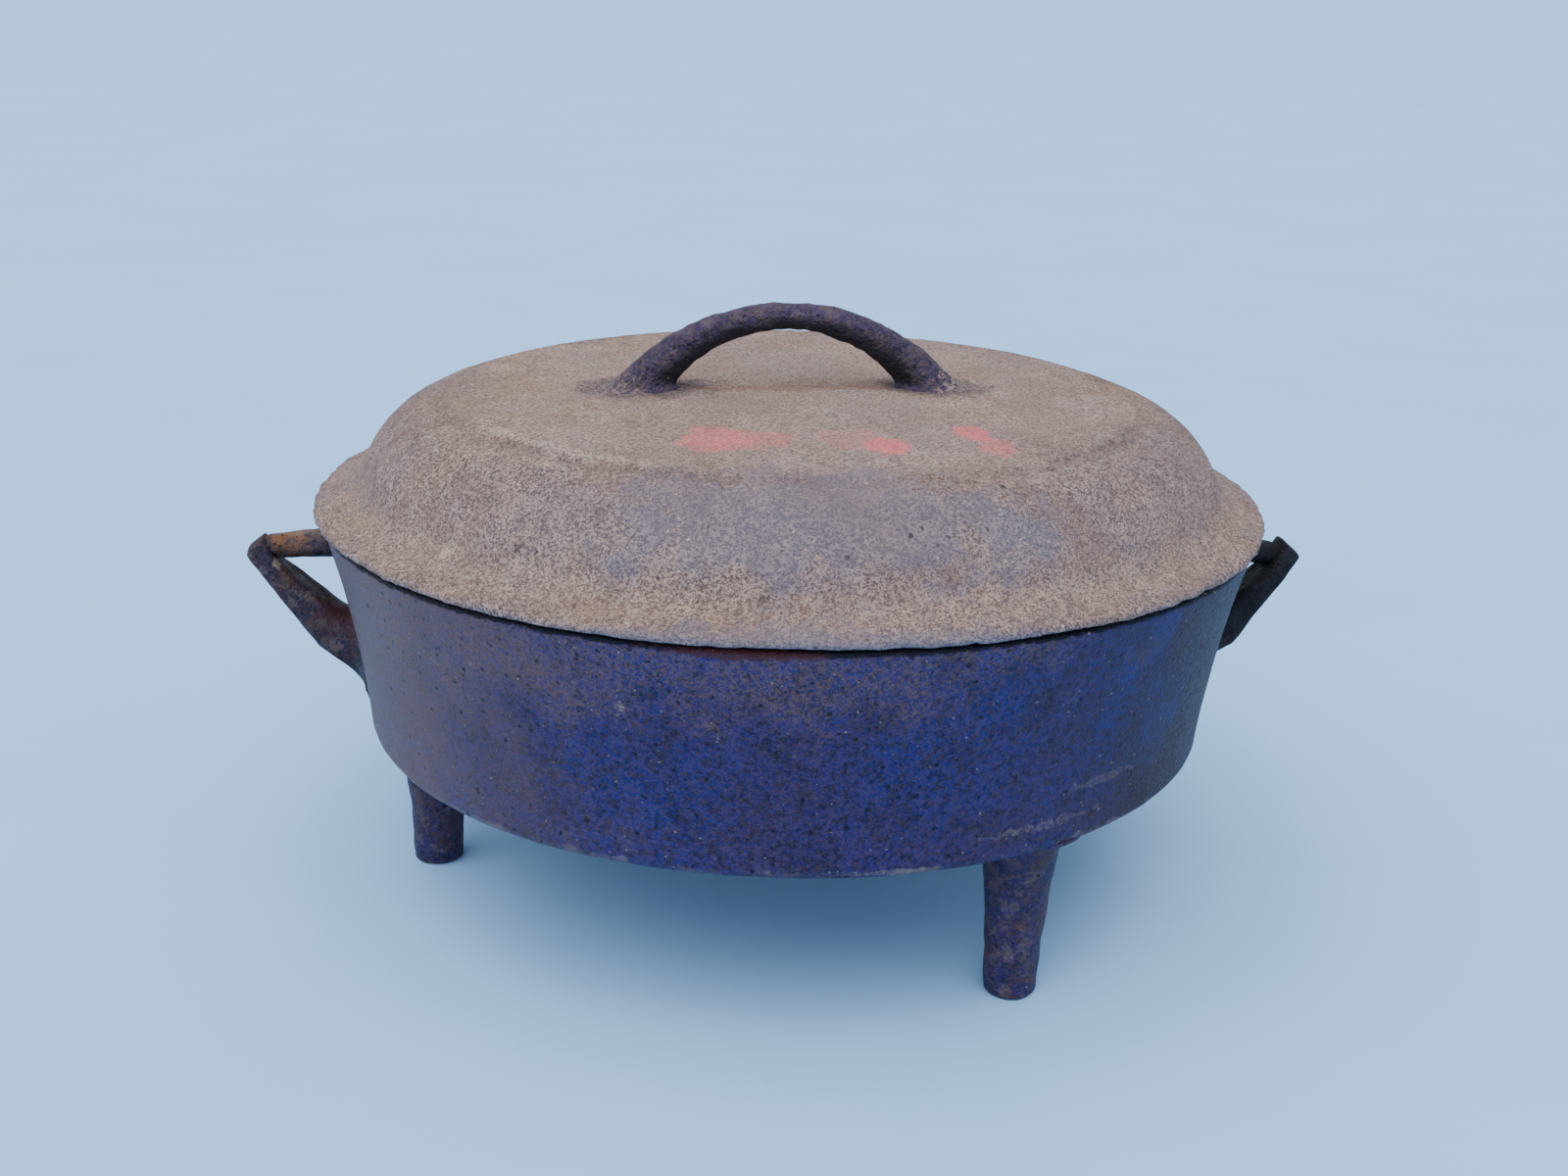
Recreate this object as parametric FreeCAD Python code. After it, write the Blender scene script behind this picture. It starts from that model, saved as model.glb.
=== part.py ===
# Footed cast iron dutch oven: a shallow flared bowl on three tapered legs, with two angular ears
# for a wire bail, and a loose domed lid with an arched grip. The pot is one casting and the lid is
# another. Each named feature of the two castings is a solid of its own, cut to meet its neighbour.
# Millimetres. Origin: on the ground, on the bowl's axis. +X runs out through the right ear, +Z is up.
import math
import os

import FreeCAD
import Part

# ---- bowl ----
mouth_radius = 150.3      # outside of the wall at the rim
base_radius = 137.2       # outside of the wall just above its bottom corner
wall_hollow = 1.6         # how far the flared wall is hollowed in from a straight cone
rim_height = 126.5        # ground to the top of the rim
leg_height = 54.5         # ground to the underside of the bowl
bowl_wall = 4.8
bowl_floor = 5.5
corner_radius = 4.5       # outside corner, wall to underside
inside_corner = 10.0      # inside corner, wall to floor
rim_rounding = 1.0

# ---- legs: round, tapered, flat on the ground, one under the left ear ----
leg_angles = {"left": 180, "front_right": -60, "back_right": 60}   # degrees about +Z from +X
leg_foot_radius = 7.8
leg_waist_radius = 9.2
leg_waist_height = 27.0
leg_top_radius = 12.4
leg_inset = 18.2          # centre of the leg's top, in from the bowl's base_radius
leg_lean = 1.5            # the foot stands this much nearer to the axis than the leg's top

# ---- ears: a round bar out of the wall, propped from below by a wedge-shaped strut ----
# The two were moulded by hand, so the right one droops a little more than the left one.
ear_angles = {"left": 180, "right": 0}        # degrees about +Z from +X
bar_drop = {"left": 13.8, "right": 15.8}      # centre of the bar at the wall, below the rim
bar_droop = {"left": 1.6, "right": 5.4}       # outer end of the bar below its root
tip_drop = {"left": 16.2, "right": 20.2}      # tip of the ear, below the rim
ear_projection = 25.4     # tip of the ear, beyond the mouth
bar_root_radius = 5.2
bar_tip_radius = 3.9
bar_setback = 5.0         # end of the bar, back from the tip of the ear
strut_tip_width = 12.0
strut_root_width = 21.0
strut_rounding = 2.4
strut_tip_depth = 6.4     # thickness of the strut just under the bar
strut_slope = 55.0        # degrees from level, of the strut's outer face
strut_elbow = 13.0        # how far out from the wall the strut starts to spread into its root
strut_elbow_depth = 13.8  # thickness of the strut there
strut_elbow_spread = 0.6  # share of the strut's widening that is reached there
strut_neck = 0.25         # share of the way from tip to elbow where the strut has its neck
strut_neck_spread = 0.25  # share of the widening between tip and root that is reached at the neck
strut_tip_lift = 0.6      # inner edge of the strut's end, above its outer edge
strut_root_lift = 10.5    # lowest point of the strut on the wall, above the bowl's underside
strut_root_depth = 21.0   # height of the strut where it meets the wall

# ---- lid ----
seat_gap = 0.3            # loose gravity seat, rim to lid
lid_overhang = 2.2        # edge of the lid beyond the mouth
lid_wall = 4.5
flange_edge = 3.6         # thickness of the lid's rounded outer edge
flange_run = 6.5          # breadth of the flat part of the flange
flange_height = 5.2       # top of the flange where the cove starts, above the seat
cove_run = 9.2            # breadth of the cove between flange and dome
cove_height = 13.5        # top of the cove, above the seat
cove_bow = 1.7
shoulder_run = 25.4       # breadth of the dome's steep side
shoulder_bow = 4.6
plateau_height = 35.2     # edge of the raised plateau, above the seat
plateau_step_run = 1.6
plateau_step_drop = 1.2
crown_rise = 1.8          # middle of the plateau above its edge

# ---- locating lip: the ring under the lid that keeps it on the bowl ----
lip_depth = 5.0
lip_wall = 4.0
lip_clearance = 1.2
lip_rounding = 0.8
lip_ledge = 1.0           # the underside of the lid starts to rise this far inside the lip

# ---- grip: the arched handle cast on the lid, in line with the ears ----
grip_shift = -2.0         # cast a little off the middle, towards the left ear
grip_reach = 47.4         # middle of each foot, out from the middle of the grip
grip_rise = 24.4          # centre of the bar at the top of the arch, above the plateau's edge
grip_radius = 4.3
grip_foot_radius = 9.0
grip_burial = 7.0         # degrees that the arch runs on below the surface of the lid
grip_sections = 13

level_tolerance = 1e-6    # how close two heights must be to count as the same

# ---- places worked out from the sizes above ----
lid_seat = rim_height + seat_gap
lid_radius = mouth_radius + lid_overhang
cove_radius = lid_radius - flange_run - cove_run
plateau_radius = cove_radius - shoulder_run - plateau_step_run
ear_tip = mouth_radius + ear_projection


def at(point):
    """A point (radius, height) in the XZ plane."""
    return FreeCAD.Vector(point[0], 0, point[1])


def line(start, end):
    return Part.makeLine(at(start), at(end))


def arc_through(start, middle, end):
    return Part.Arc(at(start), at(middle), at(end)).toShape()


def arc_circle(start, end, bow):
    """Centre and radius of the arc that stands bow out of its chord, to the left of its direction."""
    chord = math.dist(start, end)
    radius = (chord ** 2 / 4 + bow ** 2) / (2 * bow)
    left = ((start[1] - end[1]) / chord, (end[0] - start[0]) / chord)
    reach = radius - bow
    centre = tuple((a + b) / 2 - reach * n for a, b, n in zip(start, end, left))
    return centre, radius


def bowed_arc(start, end, bow):
    chord = math.dist(start, end)
    left = ((start[1] - end[1]) / chord, (end[0] - start[0]) / chord)
    middle = tuple((a + b) / 2 + bow * n for a, b, n in zip(start, end, left))
    return arc_through(start, middle, end)


def shrunk_arc(start, end, bow, depth):
    """The concentric arc that lies depth nearer to the centre: its ends and its bow."""
    centre, radius = arc_circle(start, end, bow)
    scale = (radius - depth) / radius
    ends = [tuple(c + scale * (p - c) for p, c in zip(point, centre)) for point in (start, end)]
    return ends[0], ends[1], bow * scale


def turn(shape, angle):
    """Turn a shape about the bowl's axis, from +X into its place."""
    shape.rotate(FreeCAD.Vector(0, 0, 0), FreeCAD.Vector(0, 0, 1), angle)
    return shape


def turned(edges):
    """The solid that a closed outline in the XZ plane sweeps about the Z axis.

    Its seam is moved round to +Y, away from the ears, legs and grip that are cut to fit it.
    """
    face = Part.Face(Part.Wire(edges))
    return turn(face.revolve(FreeCAD.Vector(0, 0, 0), FreeCAD.Vector(0, 0, 1), 360), 90)


def rounded_rings(solid, height, radius):
    """Round the circular edges that lie flat at one height."""
    rings = [edge for edge in solid.Edges
             if abs(edge.BoundBox.ZMin - height) < level_tolerance
             and abs(edge.BoundBox.ZMax - height) < level_tolerance]
    return solid.makeFillet(radius, rings)


# ---- bowl ----
def wall_radius(height):
    """Outside radius of the flared wall at a height."""
    foot = (base_radius, leg_height + corner_radius)
    centre, radius = arc_circle(foot, (mouth_radius, rim_height), wall_hollow)
    return centre[0] - math.sqrt(radius ** 2 - (height - centre[1]) ** 2)


def bowl_skin(inset, underside, corner):
    """One skin of the bowl, from the axis round the corner and up the wall to the rim."""
    foot = underside + corner
    heights = (foot, (foot + rim_height) / 2, rim_height)
    wall = [(wall_radius(height) - inset, height) for height in heights]
    corner_start = (wall[0][0] - corner, underside)
    slant = corner * math.sqrt(0.5)
    corner_middle = (corner_start[0] + slant, foot - slant)
    edges = [line((0, underside), corner_start),
             arc_through(corner_start, corner_middle, wall[0]),
             arc_through(*wall)]
    return edges, wall[-1]


def pot_bowl():
    floor_top = leg_height + bowl_floor
    outside, outer_rim = bowl_skin(0, leg_height, corner_radius)
    inside, inner_rim = bowl_skin(bowl_wall, floor_top, inside_corner)
    axis = line((0, floor_top), (0, leg_height))
    section = outside + [line(outer_rim, inner_rim)] + inside[::-1] + [axis]
    return rounded_rings(turned(section), rim_height, rim_rounding)


def filled_bowl():
    """The bowl as if it were solid, for cutting off what would run into it."""
    outside, rim = bowl_skin(0, leg_height, corner_radius)
    return turned(outside + [line(rim, (0, rim_height)), line((0, rim_height), (0, leg_height))])


# ---- legs ----
def disc(centre, direction, radius):
    return Part.Wire(Part.makeCircle(radius, centre, direction))


def leg():
    top = leg_height + bowl_floor / 2
    foot_place = base_radius - leg_inset - leg_lean
    stations = [(0, leg_foot_radius), (leg_waist_height, leg_waist_radius), (top, leg_top_radius)]
    up = FreeCAD.Vector(0, 0, 1)
    discs = [disc(at((foot_place + leg_lean * (height / top) ** 2, height)), up, radius)
             for height, radius in stations]
    return Part.makeLoft(discs, True)


# ---- ears, first built along +X and then turned into place ----
def rounded_bar(start, end, start_radius, end_radius):
    """A tapered round bar with a domed outer end."""
    run = at(end) - at(start)
    cone = Part.makeCone(start_radius, end_radius, run.Length, at(start), run)
    return cone.fuse(Part.makeSphere(end_radius, at(end))).removeSplitter()


def ear_bar(side):
    root_height = rim_height - bar_drop[side]
    root = (wall_radius(root_height) - bowl_wall / 2, root_height)
    end = (ear_tip - bar_setback - bar_tip_radius, root_height - bar_droop[side])
    return rounded_bar(root, end, bar_root_radius, bar_tip_radius)


def strut_section(inner, outer, width):
    """A rounded rectangle that stands across the strut, from its inner to its outer edge."""
    along = at(outer) - at(inner)
    depth = along.Length
    along.normalize()
    across = FreeCAD.Vector(0, 1, 0)
    half = width / 2
    slant = strut_rounding * (1 - math.sqrt(0.5))

    def spot(sideways, lengthways):
        return at(inner) + across * sideways + along * lengthways

    arcs = []
    for sign, begin, inward in ((1, 0, 1), (1, depth, -1), (-1, depth, -1), (-1, 0, 1)):
        on_end = spot(sign * (half - strut_rounding), begin)
        middle = spot(sign * (half - slant), begin + inward * slant)
        on_side = spot(sign * half, begin + inward * strut_rounding)
        ends = (on_end, on_side) if len(arcs) % 2 == 0 else (on_side, on_end)
        arcs.append((ends[0], middle, ends[1]))
    edges = []
    for arc, following in zip(arcs, arcs[1:] + arcs[:1]):
        edges.append(Part.Arc(*arc).toShape())
        edges.append(Part.makeLine(arc[2], following[0]))
    return Part.Wire(edges)


def ear_strut(side):
    """The prop under the bar, widest and deepest where it spreads onto the wall."""
    tip = (ear_tip, rim_height - tip_drop[side])
    root_low = leg_height + strut_root_lift
    root_high = root_low + strut_root_depth
    inside = wall_radius(root_low) - bowl_wall / 2
    slope = math.radians(strut_slope)
    outward = (math.sin(slope), -math.cos(slope))
    elbow_reach = wall_radius(root_high) + strut_elbow
    elbow = (elbow_reach, tip[1] - (tip[0] - elbow_reach) * math.tan(slope))

    def across(outer, depth):
        inner = (outer[0] - depth * outward[0], outer[1] - depth * outward[1])
        return inner, outer

    neck = tuple(t + strut_neck * (e - t) for t, e in zip(tip, elbow))
    spread = strut_root_width - strut_tip_width
    neck_width = strut_tip_width + strut_neck_spread * spread
    elbow_width = strut_tip_width + strut_elbow_spread * spread
    inner_tip = (tip[0] - bar_setback - bar_tip_radius, tip[1] + strut_tip_lift)
    sections = [
        strut_section(inner_tip, tip, strut_tip_width),
        strut_section(*across(neck, strut_tip_depth), neck_width),
        strut_section(*across(elbow, strut_elbow_depth), elbow_width),
        strut_section((inside, root_high), (inside, root_low), strut_root_width),
    ]
    return Part.makeLoft(sections, True, True)


# ---- lid ----
def lid_skin():
    """Key points of the lid's upper skin, and the arc of its steep side."""
    plateau = (plateau_radius, lid_seat + plateau_height)
    shoulder = (plateau[0] + plateau_step_run, plateau[1] - plateau_step_drop)
    cove_top = (cove_radius, lid_seat + cove_height)
    return plateau, shoulder, cove_top


def crown(radius, edge_height):
    """The gently domed top, from the axis out to the edge of the plateau."""
    bend = (radius ** 2 + crown_rise ** 2) / (2 * crown_rise)
    half_way = radius / 2
    half_way_drop = bend - math.sqrt(bend ** 2 - half_way ** 2)
    top = edge_height + crown_rise
    return arc_through((0, top), (half_way, top - half_way_drop), (radius, edge_height))


def lid_upper_skin():
    plateau, shoulder, cove_top = lid_skin()
    flange_top = (lid_radius - flange_run, lid_seat + flange_height)
    edge = flange_edge / 2
    edge_top = (lid_radius - edge, lid_seat + flange_edge)
    edge_low = (lid_radius - edge, lid_seat)
    edges = [crown(*plateau), line(plateau, shoulder), bowed_arc(shoulder, cove_top, shoulder_bow),
             bowed_arc(cove_top, flange_top, -cove_bow), line(flange_top, edge_top),
             arc_through(edge_top, (lid_radius, lid_seat + edge), edge_low)]
    return edges, edge_low


def lip_outer_radius():
    return wall_radius(rim_height - lip_depth) - bowl_wall - lip_clearance


def lid_shell():
    plateau, shoulder, cove_top = lid_skin()
    upper, edge_low = lid_upper_skin()
    side_top, side_foot, bow = shrunk_arc(shoulder, cove_top, shoulder_bow, lid_wall)
    mouth = (lip_outer_radius() - lip_wall - lip_ledge, lid_seat)
    ceiling_edge = (side_top[0] - plateau_step_run, side_top[1] + plateau_step_drop)
    ceiling = crown(*ceiling_edge)
    inner = [line(edge_low, mouth), line(mouth, side_foot), bowed_arc(side_top, side_foot, bow),
             line(side_top, ceiling_edge), ceiling]
    axis_top = (0, plateau[1] + crown_rise)
    return turned(upper + inner + [line((0, ceiling_edge[1] + crown_rise), axis_top)])


def filled_lid():
    """The lid as if it were solid, for cutting off the feet of the grip."""
    upper, edge_low = lid_upper_skin()
    axis_top = (0, lid_seat + plateau_height + crown_rise)
    return turned(upper + [line(edge_low, (0, lid_seat)), line((0, lid_seat), axis_top)])


def lid_locating_lip():
    outer = lip_outer_radius()
    inner = outer - lip_wall
    bottom = lid_seat - seat_gap - lip_depth
    corners = [(inner, bottom), (outer, bottom), (outer, lid_seat), (inner, lid_seat)]
    ring = turned([line(a, b) for a, b in zip(corners, corners[1:] + corners[:1])])
    return rounded_rings(ring, bottom, lip_rounding)


def lid_handle():
    """Round discs threaded on an arc over the lid, largest where the grip runs into the lid."""
    bend = (grip_reach ** 2 + grip_rise ** 2) / (2 * grip_rise)
    centre_height = lid_seat + plateau_height + grip_rise - bend
    end_angle = math.asin(grip_reach / bend) + math.radians(grip_burial)
    discs = []
    for index in range(grip_sections):
        share = 2 * index / (grip_sections - 1) - 1
        angle = share * end_angle
        spot = (grip_shift + bend * math.sin(angle), centre_height + bend * math.cos(angle))
        direction = FreeCAD.Vector(math.cos(angle), 0, -math.sin(angle))
        radius = grip_radius + (grip_foot_radius - grip_radius) * share ** 2
        discs.append(disc(at(spot), direction, radius))
    return Part.makeLoft(discs, True).cut(filled_lid())


def build():
    solid_bowl = filled_bowl()
    nodes = {"pot_bowl": pot_bowl(), "lid_shell": lid_shell(),
             "lid_locating_lip": lid_locating_lip(), "lid_handle": lid_handle()}
    for place, angle in leg_angles.items():
        nodes["leg_" + place] = turn(leg().cut(solid_bowl), angle)
    for side, angle in ear_angles.items():
        bar = ear_bar(side).cut(solid_bowl)
        strut = ear_strut(side).cut(solid_bowl).cut(bar)
        nodes["ear_bar_" + side] = turn(bar, angle)
        nodes["ear_strut_" + side] = turn(strut, angle)
    return nodes


os.makedirs("parts", exist_ok=True)
for name, shape in build().items():
    shape.exportStep("parts/" + name + ".step")
    print(f"{name}: {shape.Volume / 1000:.1f} cm3, {len(shape.Solids)} solid, valid {shape.isValid()}")
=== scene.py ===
# %% [markdown]
# # A footed cast iron dutch oven
# The pot is one grey iron casting: a shallow flared bowl, three tapered legs and two angular ears.
# The domed lid is a second casting that lies loose on the rim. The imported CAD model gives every
# place and size here. This lesson builds the skin that a sand mould leaves on iron, and then the
# finishes: blue-black seasoning on the pot, and dry, rusty, gritty iron on the lid.

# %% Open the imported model
import math

import bmesh
import bpy
from mathutils import Matrix, Vector, noise


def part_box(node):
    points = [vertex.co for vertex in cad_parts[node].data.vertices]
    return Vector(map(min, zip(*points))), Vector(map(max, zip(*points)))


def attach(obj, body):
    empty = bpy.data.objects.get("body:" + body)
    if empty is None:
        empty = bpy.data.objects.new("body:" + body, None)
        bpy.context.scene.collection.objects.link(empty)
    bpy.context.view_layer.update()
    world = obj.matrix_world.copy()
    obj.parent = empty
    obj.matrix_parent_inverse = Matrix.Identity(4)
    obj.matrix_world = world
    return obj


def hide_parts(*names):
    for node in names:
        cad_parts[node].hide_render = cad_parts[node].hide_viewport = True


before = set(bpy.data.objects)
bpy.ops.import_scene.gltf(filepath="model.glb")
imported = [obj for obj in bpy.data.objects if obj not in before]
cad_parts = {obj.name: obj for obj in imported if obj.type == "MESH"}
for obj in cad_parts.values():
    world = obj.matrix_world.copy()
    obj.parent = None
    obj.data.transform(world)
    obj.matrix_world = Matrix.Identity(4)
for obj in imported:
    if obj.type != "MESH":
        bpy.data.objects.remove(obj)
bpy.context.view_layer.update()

# %% [markdown]
# ## Sizes
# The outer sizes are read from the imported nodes, so the skin can't drift away from the CAD model.
# The others are the casting's own: wall thickness, roundings and bows. They could be read from the
# CAD meshes too, but a named size is easier to follow and to change.

# %% Sizes of the pot
mm = 0.001
bowl_low, bowl_high = (Vector(corner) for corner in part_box("pot_bowl"))
leg_height = bowl_low.z
rim_height = bowl_high.z
mouth_radius = bowl_high.x
base_radius = 137.2 * mm
wall_hollow = 1.6 * mm
bowl_wall = 4.8 * mm
floor_top = leg_height + 5.5 * mm
corner_radius = 4.5 * mm
inside_corner = 10 * mm
rim_rounding = 1.6 * mm
print(f"mouth radius {mouth_radius:.4f} m, rim at {rim_height:.4f} m, underside at {leg_height:.4f} m")

# %% Sizes of the lid
lid_low, lid_high = (Vector(corner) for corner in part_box("lid_shell"))
lid_seat = lid_low.z
lid_top = lid_high.z
lid_radius = lid_high.x
lid_wall = 4.5 * mm
edge_thickness = 3.6 * mm
flange_inner = lid_radius - 6.5 * mm
flange_top = lid_seat + 5.2 * mm
cove_radius = flange_inner - 9.2 * mm
cove_top = lid_seat + 13.5 * mm
plateau_radius = cove_radius - 27.0 * mm
crown_rise = 1.8 * mm
plateau_edge = lid_top - crown_rise
step_run = 1.6 * mm
step_drop = 1.2 * mm
dome_bow = 4.5 * mm
cove_bow = 1.7 * mm
inside_bow = 3.8 * mm
print(f"lid radius {lid_radius:.4f} m, seat at {lid_seat:.4f} m, plateau edge at {plateau_edge:.4f} m")

# %% [markdown]
# ## Outlines
# Bowl and lid are round, so each is a lathe: one outline from the axis, out, back and in again,
# turned about the axis. An outline is a chain of runs. A run is straight, or it bows to the left of
# its own direction when bow is positive. A quarter of a circle bows by 0.29 of its radius.

# %% Draw an outline
quarter = 1 - math.sqrt(0.5)


def bowed_run(start, end, bow, spacing):
    """Points along an arc from start to end, without the start, at about the given spacing."""
    chord = end - start
    side = Vector((-chord.y, chord.x)).normalized()
    half = chord.length / 2
    count = max(1, math.ceil(chord.length / spacing))
    points = []
    for step in range(1, count + 1):
        share = step / count
        rise = 0
        if bow:
            bend = (half ** 2 + bow ** 2) / (2 * abs(bow))
            reach = half * (2 * share - 1)
            rise = math.copysign(math.sqrt(bend ** 2 - reach ** 2) - bend + abs(bow), bow)
        points.append(start + chord * share + side * rise)
    return points


def outline_of(start, runs):
    points = [Vector(start)]
    for end, bow, spacing in runs:
        points += bowed_run(points[-1], Vector(end), bow, spacing * mm)
    return points


print(f"a quarter circle bows by {quarter:.3f} of its radius")


# %% Skin over a stack of rings
def skin_over(rings):
    """A closed skin over rings of points. A ring of one point closes an end."""
    mesh = bmesh.new()
    stack = [[mesh.verts.new(point) for point in ring] for ring in rings]
    for lower, upper in zip(stack, stack[1:]):
        count = max(len(lower), len(upper))
        for here in range(count):
            following = (here + 1) % count
            if len(lower) == 1:
                mesh.faces.new((lower[0], upper[here], upper[following]))
            elif len(upper) == 1:
                mesh.faces.new((lower[here], upper[0], lower[following]))
            else:
                mesh.faces.new((lower[here], upper[here], upper[following], lower[following]))
    bmesh.ops.recalc_face_normals(mesh, faces=mesh.faces)
    mesh.normal_update()
    return mesh


def around(columns):
    """Angles of evenly spread columns, once round."""
    return [math.tau * i / columns for i in range(columns)]


def lathe(outline, columns):
    """Turn an outline of (radius, height) about the Z axis."""
    turns = [(math.cos(angle), math.sin(angle)) for angle in around(columns)]
    rings = []
    for radius, height in outline:
        if radius < 0.01 * mm:
            rings.append([(0, 0, height)])
        else:
            rings.append([(radius * x, radius * y, height) for x, y in turns])
    return skin_over(rings)


print("ready to skin rings and lathe")

# %% [markdown]
# ## The skin of a sand casting
# Iron poured into sand comes out a little uneven: long waves from the hand-made pattern, lumps where
# the sand gave way, and grit. A Displace modifier could do this. Here each point moves along its own
# normal by layers of noise, because then the depth of each layer is known, and the piece keeps the
# size of its CAD node. The finest grit is left to the bump in the finish.


# %% Roughen a skin by layers of noise
def cast_in_sand(mesh, layers, seed):
    """Each layer is (size, depth) in metres. Points move up to half the depth in or out."""
    offset = Vector((seed * 7.3, seed * 3.1, seed * 5.7))
    moves = []
    for vertex in mesh.verts:
        shift = sum(depth * noise.noise(vertex.co / size + offset) / 2 for size, depth in layers)
        moves.append((vertex, vertex.normal * shift))
    for vertex, move in moves:
        vertex.co += move
    mesh.normal_update()


def smooth_step(low, high, value):
    share = min(1, max(0, (value - low) / (high - low)))
    return share * share * (3 - 2 * share)


def put_in_scene(name, data):
    """Make an object of a mesh, a lamp or a camera."""
    thing = bpy.data.objects.new(name, data)
    bpy.context.scene.collection.objects.link(thing)
    return thing


def finished_piece(name, mesh, body, nodes, materials):
    """Turn a bmesh into a piece that rides on its body and stands for its CAD nodes."""
    data = bpy.data.meshes.new(name)
    mesh.to_mesh(data)
    mesh.free()
    data.shade_smooth()
    piece = put_in_scene(name, data)
    for material in materials:
        data.materials.append(material)
    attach(piece, body)
    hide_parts(*nodes)
    triangles = sum(len(face.vertices) - 2 for face in data.polygons)
    print(f"{name}: {triangles} triangles, rides on {body}")


print("ready to roughen and finish pieces")

# %% [markdown]
# ## Building blocks of the finishes
# Old iron shows the same few effects everywhere, in different strengths: grain, pits, stains, spots
# and rings of wear. Each effect is a node group, made once and placed in each material with its own
# numbers. Every group reads the piece's own coordinates in metres, so its sizes are real ones and the
# pattern moves with the piece.


# %% Helpers for node trees
def place(tree, kind, inputs=(), **settings):
    """Add a node. inputs maps a socket's name or number to a constant or to another node's output."""
    node = tree.nodes.new(kind)
    for name, value in settings.items():
        setattr(node, name, value)
    for socket, value in dict(inputs).items():
        if isinstance(value, bpy.types.NodeSocket):
            tree.links.new(value, node.inputs[socket])
        else:
            node.inputs[socket].default_value = value
    return node


def calc(tree, operation, *values):
    return place(tree, "ShaderNodeMath", enumerate(values), operation=operation).outputs[0]


def fade(tree, value, low, high):
    """0 below low, 1 above high, and smooth between them."""
    node = place(tree, "ShaderNodeMapRange", {"Value": value, "From Min": low, "From Max": high},
                 interpolation_type="SMOOTHSTEP")
    return node.outputs["Result"]


def over(tree, mask, under, top):
    """Lay one colour over another where the mask is bright."""
    return place(tree, "ShaderNodeMix", {0: mask, 6: under, 7: top}, data_type="RGBA").outputs[2]


def speckle_noise(tree, size, detail, seed=0.0):
    """Noise with features of the given size in millimetres."""
    spot = place(tree, "ShaderNodeTexCoord").outputs["Object"]
    scale = calc(tree, "DIVIDE", 1000.0, size)
    inputs = {"Vector": spot, "W": seed, "Scale": scale, "Detail": detail, "Roughness": 0.6}
    return place(tree, "ShaderNodeTexNoise", inputs, noise_dimensions="4D").outputs[0]


print("node helpers ready")


# %% Start a node group with named sockets
def start_group(name, inputs, outputs):
    group = bpy.data.node_groups.new(name, "ShaderNodeTree")
    for label, kind, value in inputs:
        socket = group.interface.new_socket(label, in_out="INPUT", socket_type="NodeSocket" + kind)
        socket.default_value = value
    for label in outputs:
        group.interface.new_socket(label, in_out="OUTPUT", socket_type="NodeSocketFloat")
    given = place(group, "NodeGroupInput").outputs
    results = place(group, "NodeGroupOutput").inputs
    return group, given, results


def use(tree, group, **values):
    """Place a group. Its sockets are given by name, with _ for a space."""
    node = place(tree, "ShaderNodeGroup", node_tree=group)
    for name, value in values.items():
        socket = node.inputs[name.replace("_", " ")]
        if isinstance(value, bpy.types.NodeSocket):
            tree.links.new(value, socket)
        else:
            socket.default_value = value
    return node.outputs


print("group helpers ready")

# %% Grain: the grit of the sand, as a height and as a light and dark speckle
grain, given, results = start_group("casting grain", [("Size", "Float", 1.5)], ["Height", "Speckle"])
coarse = speckle_noise(grain, given["Size"], 2.0)
fine = speckle_noise(grain, calc(grain, "MULTIPLY", given["Size"], 0.45), 2.0, 4.0)
both = calc(grain, "ADD", calc(grain, "MULTIPLY", coarse, 0.45), calc(grain, "MULTIPLY", fine, 0.55))
grain.links.new(both, results["Height"])
grain.links.new(fade(grain, both, 0.42, 0.59), results["Speckle"])
print("group:", grain.name)

# %% Pits: scattered small holes, or flecks if a pale colour is laid over them
pit_inputs = [("Spacing", "Float", 6.0), ("Share", "Float", 0.4), ("Size", "Float", 0.2)]
pits, given, results = start_group("scattered pits", pit_inputs, ["Mask"])
spot = place(pits, "ShaderNodeTexCoord").outputs["Object"]
ragged = place(pits, "ShaderNodeTexNoise", {"Vector": spot, "Scale": 900.0, "Detail": 1.0}).outputs["Color"]
shaken = place(pits, "ShaderNodeVectorMath", {0: ragged, 1: (0.0012,) * 3}, operation="MULTIPLY").outputs[0]
moved = place(pits, "ShaderNodeVectorMath", {0: spot, 1: shaken}, operation="ADD").outputs[0]
cells = place(pits, "ShaderNodeTexVoronoi",
              {"Vector": moved, "Scale": calc(pits, "DIVIDE", 1000.0, given["Spacing"])})
lot = place(pits, "ShaderNodeSeparateColor", {0: cells.outputs["Color"]}).outputs
chosen = calc(pits, "LESS_THAN", lot["Red"], given["Share"])
own_size = calc(pits, "MULTIPLY", given["Size"], calc(pits, "ADD", 0.4, lot["Green"]))
inside = calc(pits, "SUBTRACT", 1.0, fade(pits, calc(pits, "DIVIDE", cells.outputs["Distance"], own_size),
                                         0.5, 1.0))
pits.links.new(calc(pits, "MULTIPLY", chosen, inside), results["Mask"])
print("group:", pits.name)

# %% Stain: soft-edged patches of any size
stain_inputs = [("Size", "Float", 40.0), ("Amount", "Float", 0.5), ("Softness", "Float", 0.2),
                ("Seed", "Float", 0.0)]
stain, given, results = start_group("soft stain", stain_inputs, ["Mask"])
cloud = speckle_noise(stain, given["Size"], 6.0, given["Seed"])
middle = calc(stain, "SUBTRACT", 0.7, calc(stain, "MULTIPLY", given["Amount"], 0.4))
half_soft = calc(stain, "MULTIPLY", given["Softness"], 0.5)
mask = fade(stain, cloud, calc(stain, "SUBTRACT", middle, half_soft), calc(stain, "ADD", middle, half_soft))
stain.links.new(mask, results["Mask"])
print("group:", stain.name)

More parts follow.
